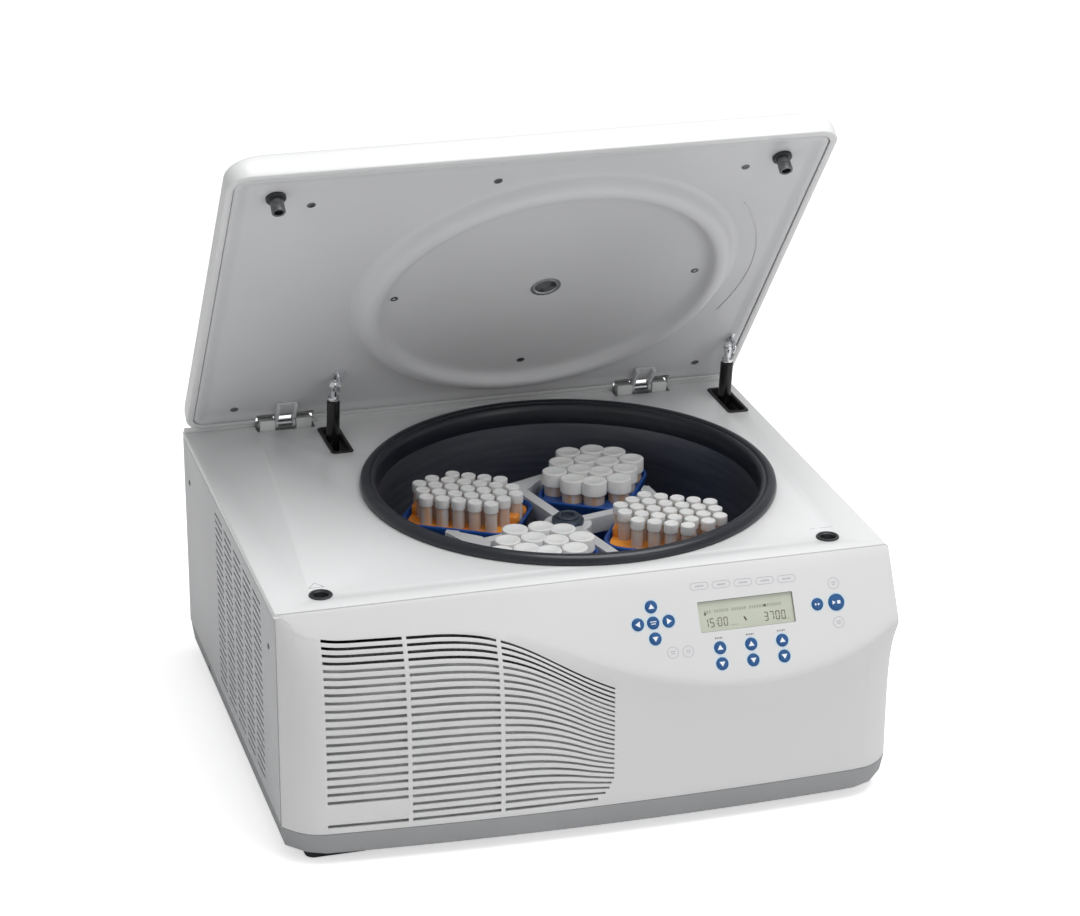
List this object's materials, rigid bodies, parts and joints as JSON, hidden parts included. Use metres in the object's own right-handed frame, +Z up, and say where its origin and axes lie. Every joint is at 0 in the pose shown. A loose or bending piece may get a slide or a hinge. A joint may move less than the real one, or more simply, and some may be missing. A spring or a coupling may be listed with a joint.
{
  "type": "refrigerated benchtop centrifuge",
  "caption": "Refrigerated benchtop centrifuge with a strut-held lid, round chamber, swinging-bucket rotor, louvred front and tilted control panel.",
  "frame": {"origin": "centre of the footprint of the whole object with its lid up, at the underside of the feet", "axes": "+X to the right seen from the front, +Y to the rear, +Z up"},
  "size_m": [0.74, 0.6596, 0.7763],
  "materials": {
    "white_housing": "smooth moulded white",
    "white_sheet": "fine satin paint",
    "grey_base": "fine texture",
    "liner_grey": "satin",
    "black_rubber": "matt",
    "black_plastic": "fine texture",
    "black_paint": "satin paint",
    "chamber_steel": "dark satin",
    "steel": "brushed",
    "chrome": "polished",
    "rotor_metal": "bead blasted",
    "nut_metal": "dark anodised",
    "bucket_blue": "blue satin coat",
    "motor_metal": "painted casting",
    "coil_copper": "copper and aluminium fins",
    "key_blue": "printed membrane",
    "display": "liquid crystal window",
    "window_glass": "small round pane",
    "rack_amber": "amber tubes with white caps",
    "rack_white": "clear tubes with white caps"
  },
  "bodies": {
    "housing": {"base_tray": "grey_base", "foot_front_left": "black_rubber", "foot_front_right": "black_rubber", "foot_rear_left": "black_rubber", "foot_rear_right": "black_rubber", "deck_panel": "white_housing", "side_panel_left": "white_sheet", "side_panel_right": "white_sheet", "rear_panel": "white_sheet", "front_fascia": "white_housing", "display_window": "display", "condenser_coil": "coil_copper", "compressor": "black_paint", "drive_motor": "motor_metal", "chamber_bowl": "chamber_steel", "chamber_gasket": "black_rubber", "latch_socket_left": "chamber_steel", "latch_socket_right": "chamber_steel", "power_inlet": "black_plastic", "hinge_bracket_left": "white_sheet", "hinge_bracket_right": "white_sheet", "hinge_pin_left": "chrome", "hinge_pin_right": "chrome"},
    "lid": {"lid_shell": "white_housing", "lid_liner": "liner_grey", "lid_sight_glass": "window_glass", "latch_post_left": "steel", "latch_post_right": "steel", "lid_hinge_leaf_left": "steel", "lid_hinge_leaf_right": "steel"},
    "strut_cylinder_left_body": {"strut_cylinder_left": "black_paint"},
    "strut_cylinder_right_body": {"strut_cylinder_right": "black_paint"},
    "strut_rod_left_body": {"strut_rod_left": "chrome"},
    "strut_rod_right_body": {"strut_rod_right": "chrome"},
    "rotor": {"drive_shaft": "steel", "rotor_cross": "rotor_metal", "rotor_nut": "nut_metal"},
    "fan": {"condenser_fan": "black_plastic"},
    "switch_rocker": {"power_switch": "black_plastic"},
    "bucket_1_body": {"bucket_1": "bucket_blue", "tube_rack_1": "rack_amber"},
    "bucket_2_body": {"bucket_2": "bucket_blue", "tube_rack_2": "rack_white"},
    "bucket_3_body": {"bucket_3": "bucket_blue", "tube_rack_3": "rack_amber"},
    "bucket_4_body": {"bucket_4": "bucket_blue", "tube_rack_4": "rack_white"},
    "key_menu_up_body": {"key_menu_up": "key_blue"},
    "key_menu_left_body": {"key_menu_left": "key_blue"},
    "key_menu_enter_body": {"key_menu_enter": "key_blue"},
    "key_menu_right_body": {"key_menu_right": "key_blue"},
    "key_menu_down_body": {"key_menu_down": "key_blue"},
    "key_short_body": {"key_short": "key_blue"},
    "key_start_body": {"key_start": "key_blue"},
    "key_time_up_body": {"key_time_up": "key_blue"},
    "key_time_down_body": {"key_time_down": "key_blue"},
    "key_temperature_up_body": {"key_temperature_up": "key_blue"},
    "key_temperature_down_body": {"key_temperature_down": "key_blue"},
    "key_speed_up_body": {"key_speed_up": "key_blue"},
    "key_speed_down_body": {"key_speed_down": "key_blue"}
  },
  "joints": [
    {"name": "lid_hinge", "type": "hinge", "parent": "housing", "child": "lid", "pos_m": [0, 0.305, 0.3135], "axis": [1, 0, 0], "range_deg": [0, 50.5]},
    {"name": "strut_left_tilt", "type": "hinge", "parent": "lid", "child": "strut_cylinder_left_body", "pos_m": [-0.188, 0.24149, 0.38426], "axis": [1, 0, 0], "range_deg": [-39.15, 0]},
    {"name": "strut_left_stroke", "type": "slide", "parent": "strut_cylinder_left_body", "child": "strut_rod_left_body", "axis": [0, 0.1329, -0.9911], "range_m": [-0.0659, 0]},
    {"name": "strut_right_tilt", "type": "hinge", "parent": "lid", "child": "strut_cylinder_right_body", "pos_m": [0.343, 0.24149, 0.38426], "axis": [1, 0, 0], "range_deg": [-39.15, 0]},
    {"name": "strut_right_stroke", "type": "slide", "parent": "strut_cylinder_right_body", "child": "strut_rod_right_body", "axis": [0, 0.1329, -0.9911], "range_m": [-0.0659, 0]},
    {"name": "rotor_spin", "type": "hinge", "parent": "housing", "child": "rotor", "pos_m": [0.0602, 0.0282, 0.212], "axis": [0, 0, 1], "continuous": true},
    {"name": "bucket_1_swing", "type": "hinge", "parent": "rotor", "child": "bucket_1_body", "pos_m": [0.17163, -0.03875, 0.241], "axis": [-0.515, -0.8572, 0], "range_deg": [0, 90]},
    {"name": "bucket_2_swing", "type": "hinge", "parent": "rotor", "child": "bucket_2_body", "pos_m": [0.12715, 0.13963, 0.241], "axis": [0.8572, -0.515, 0], "range_deg": [0, 90]},
    {"name": "bucket_3_swing", "type": "hinge", "parent": "rotor", "child": "bucket_3_body", "pos_m": [-0.05123, 0.09515, 0.241], "axis": [0.515, 0.8572, 0], "range_deg": [0, 90]},
    {"name": "bucket_4_swing", "type": "hinge", "parent": "rotor", "child": "bucket_4_body", "pos_m": [-0.00675, -0.08323, 0.241], "axis": [-0.8572, 0.515, 0], "range_deg": [0, 90]},
    {"name": "fan_spin", "type": "hinge", "parent": "housing", "child": "fan", "pos_m": [-0.235, -0.218, 0.162], "axis": [0, 1, 0], "continuous": true},
    {"name": "switch_rock", "type": "hinge", "parent": "housing", "child": "switch_rocker", "pos_m": [0.312, 0.3185, 0.09], "axis": [1, 0, 0], "range_deg": [-16, 0]},
    {"name": "key_menu_up_press", "type": "slide", "parent": "housing", "child": "key_menu_up_body", "axis": [0, 0.8746, -0.4848], "range_m": [0, 0.0008], "stiffness_N_per_m": 600},
    {"name": "key_menu_left_press", "type": "slide", "parent": "housing", "child": "key_menu_left_body", "axis": [0, 0.8746, -0.4848], "range_m": [0, 0.0008], "stiffness_N_per_m": 600},
    {"name": "key_menu_enter_press", "type": "slide", "parent": "housing", "child": "key_menu_enter_body", "axis": [0, 0.8746, -0.4848], "range_m": [0, 0.0008], "stiffness_N_per_m": 600},
    {"name": "key_menu_right_press", "type": "slide", "parent": "housing", "child": "key_menu_right_body", "axis": [0, 0.8746, -0.4848], "range_m": [0, 0.0008], "stiffness_N_per_m": 600},
    {"name": "key_menu_down_press", "type": "slide", "parent": "housing", "child": "key_menu_down_body", "axis": [0, 0.8746, -0.4848], "range_m": [0, 0.0008], "stiffness_N_per_m": 600},
    {"name": "key_short_press", "type": "slide", "parent": "housing", "child": "key_short_body", "axis": [0, 0.8746, -0.4848], "range_m": [0, 0.0008], "stiffness_N_per_m": 600},
    {"name": "key_start_press", "type": "slide", "parent": "housing", "child": "key_start_body", "axis": [0, 0.8746, -0.4848], "range_m": [0, 0.0008], "stiffness_N_per_m": 600},
    {"name": "key_time_up_press", "type": "slide", "parent": "housing", "child": "key_time_up_body", "axis": [0, 0.8746, -0.4848], "range_m": [0, 0.0008], "stiffness_N_per_m": 600},
    {"name": "key_time_down_press", "type": "slide", "parent": "housing", "child": "key_time_down_body", "axis": [0, 0.8746, -0.4848], "range_m": [0, 0.0008], "stiffness_N_per_m": 600},
    {"name": "key_temperature_up_press", "type": "slide", "parent": "housing", "child": "key_temperature_up_body", "axis": [0, 0.8746, -0.4848], "range_m": [0, 0.0008], "stiffness_N_per_m": 600},
    {"name": "key_temperature_down_press", "type": "slide", "parent": "housing", "child": "key_temperature_down_body", "axis": [0, 0.8746, -0.4848], "range_m": [0, 0.0008], "stiffness_N_per_m": 600},
    {"name": "key_speed_up_press", "type": "slide", "parent": "housing", "child": "key_speed_up_body", "axis": [0, 0.8746, -0.4848], "range_m": [0, 0.0008], "stiffness_N_per_m": 600},
    {"name": "key_speed_down_press", "type": "slide", "parent": "housing", "child": "key_speed_down_body", "axis": [0, 0.8746, -0.4848], "range_m": [0, 0.0008], "stiffness_N_per_m": 600}
  ],
  "couplings": [
    {"joint": "strut_left_tilt", "follows": "lid_hinge", "ratio": -0.77505},
    {"joint": "strut_left_stroke", "follows": "lid_hinge", "m_per_rad": -0.074676},
    {"joint": "strut_right_tilt", "follows": "lid_hinge", "ratio": -0.77505},
    {"joint": "strut_right_stroke", "follows": "lid_hinge", "m_per_rad": -0.074676}
  ]
}
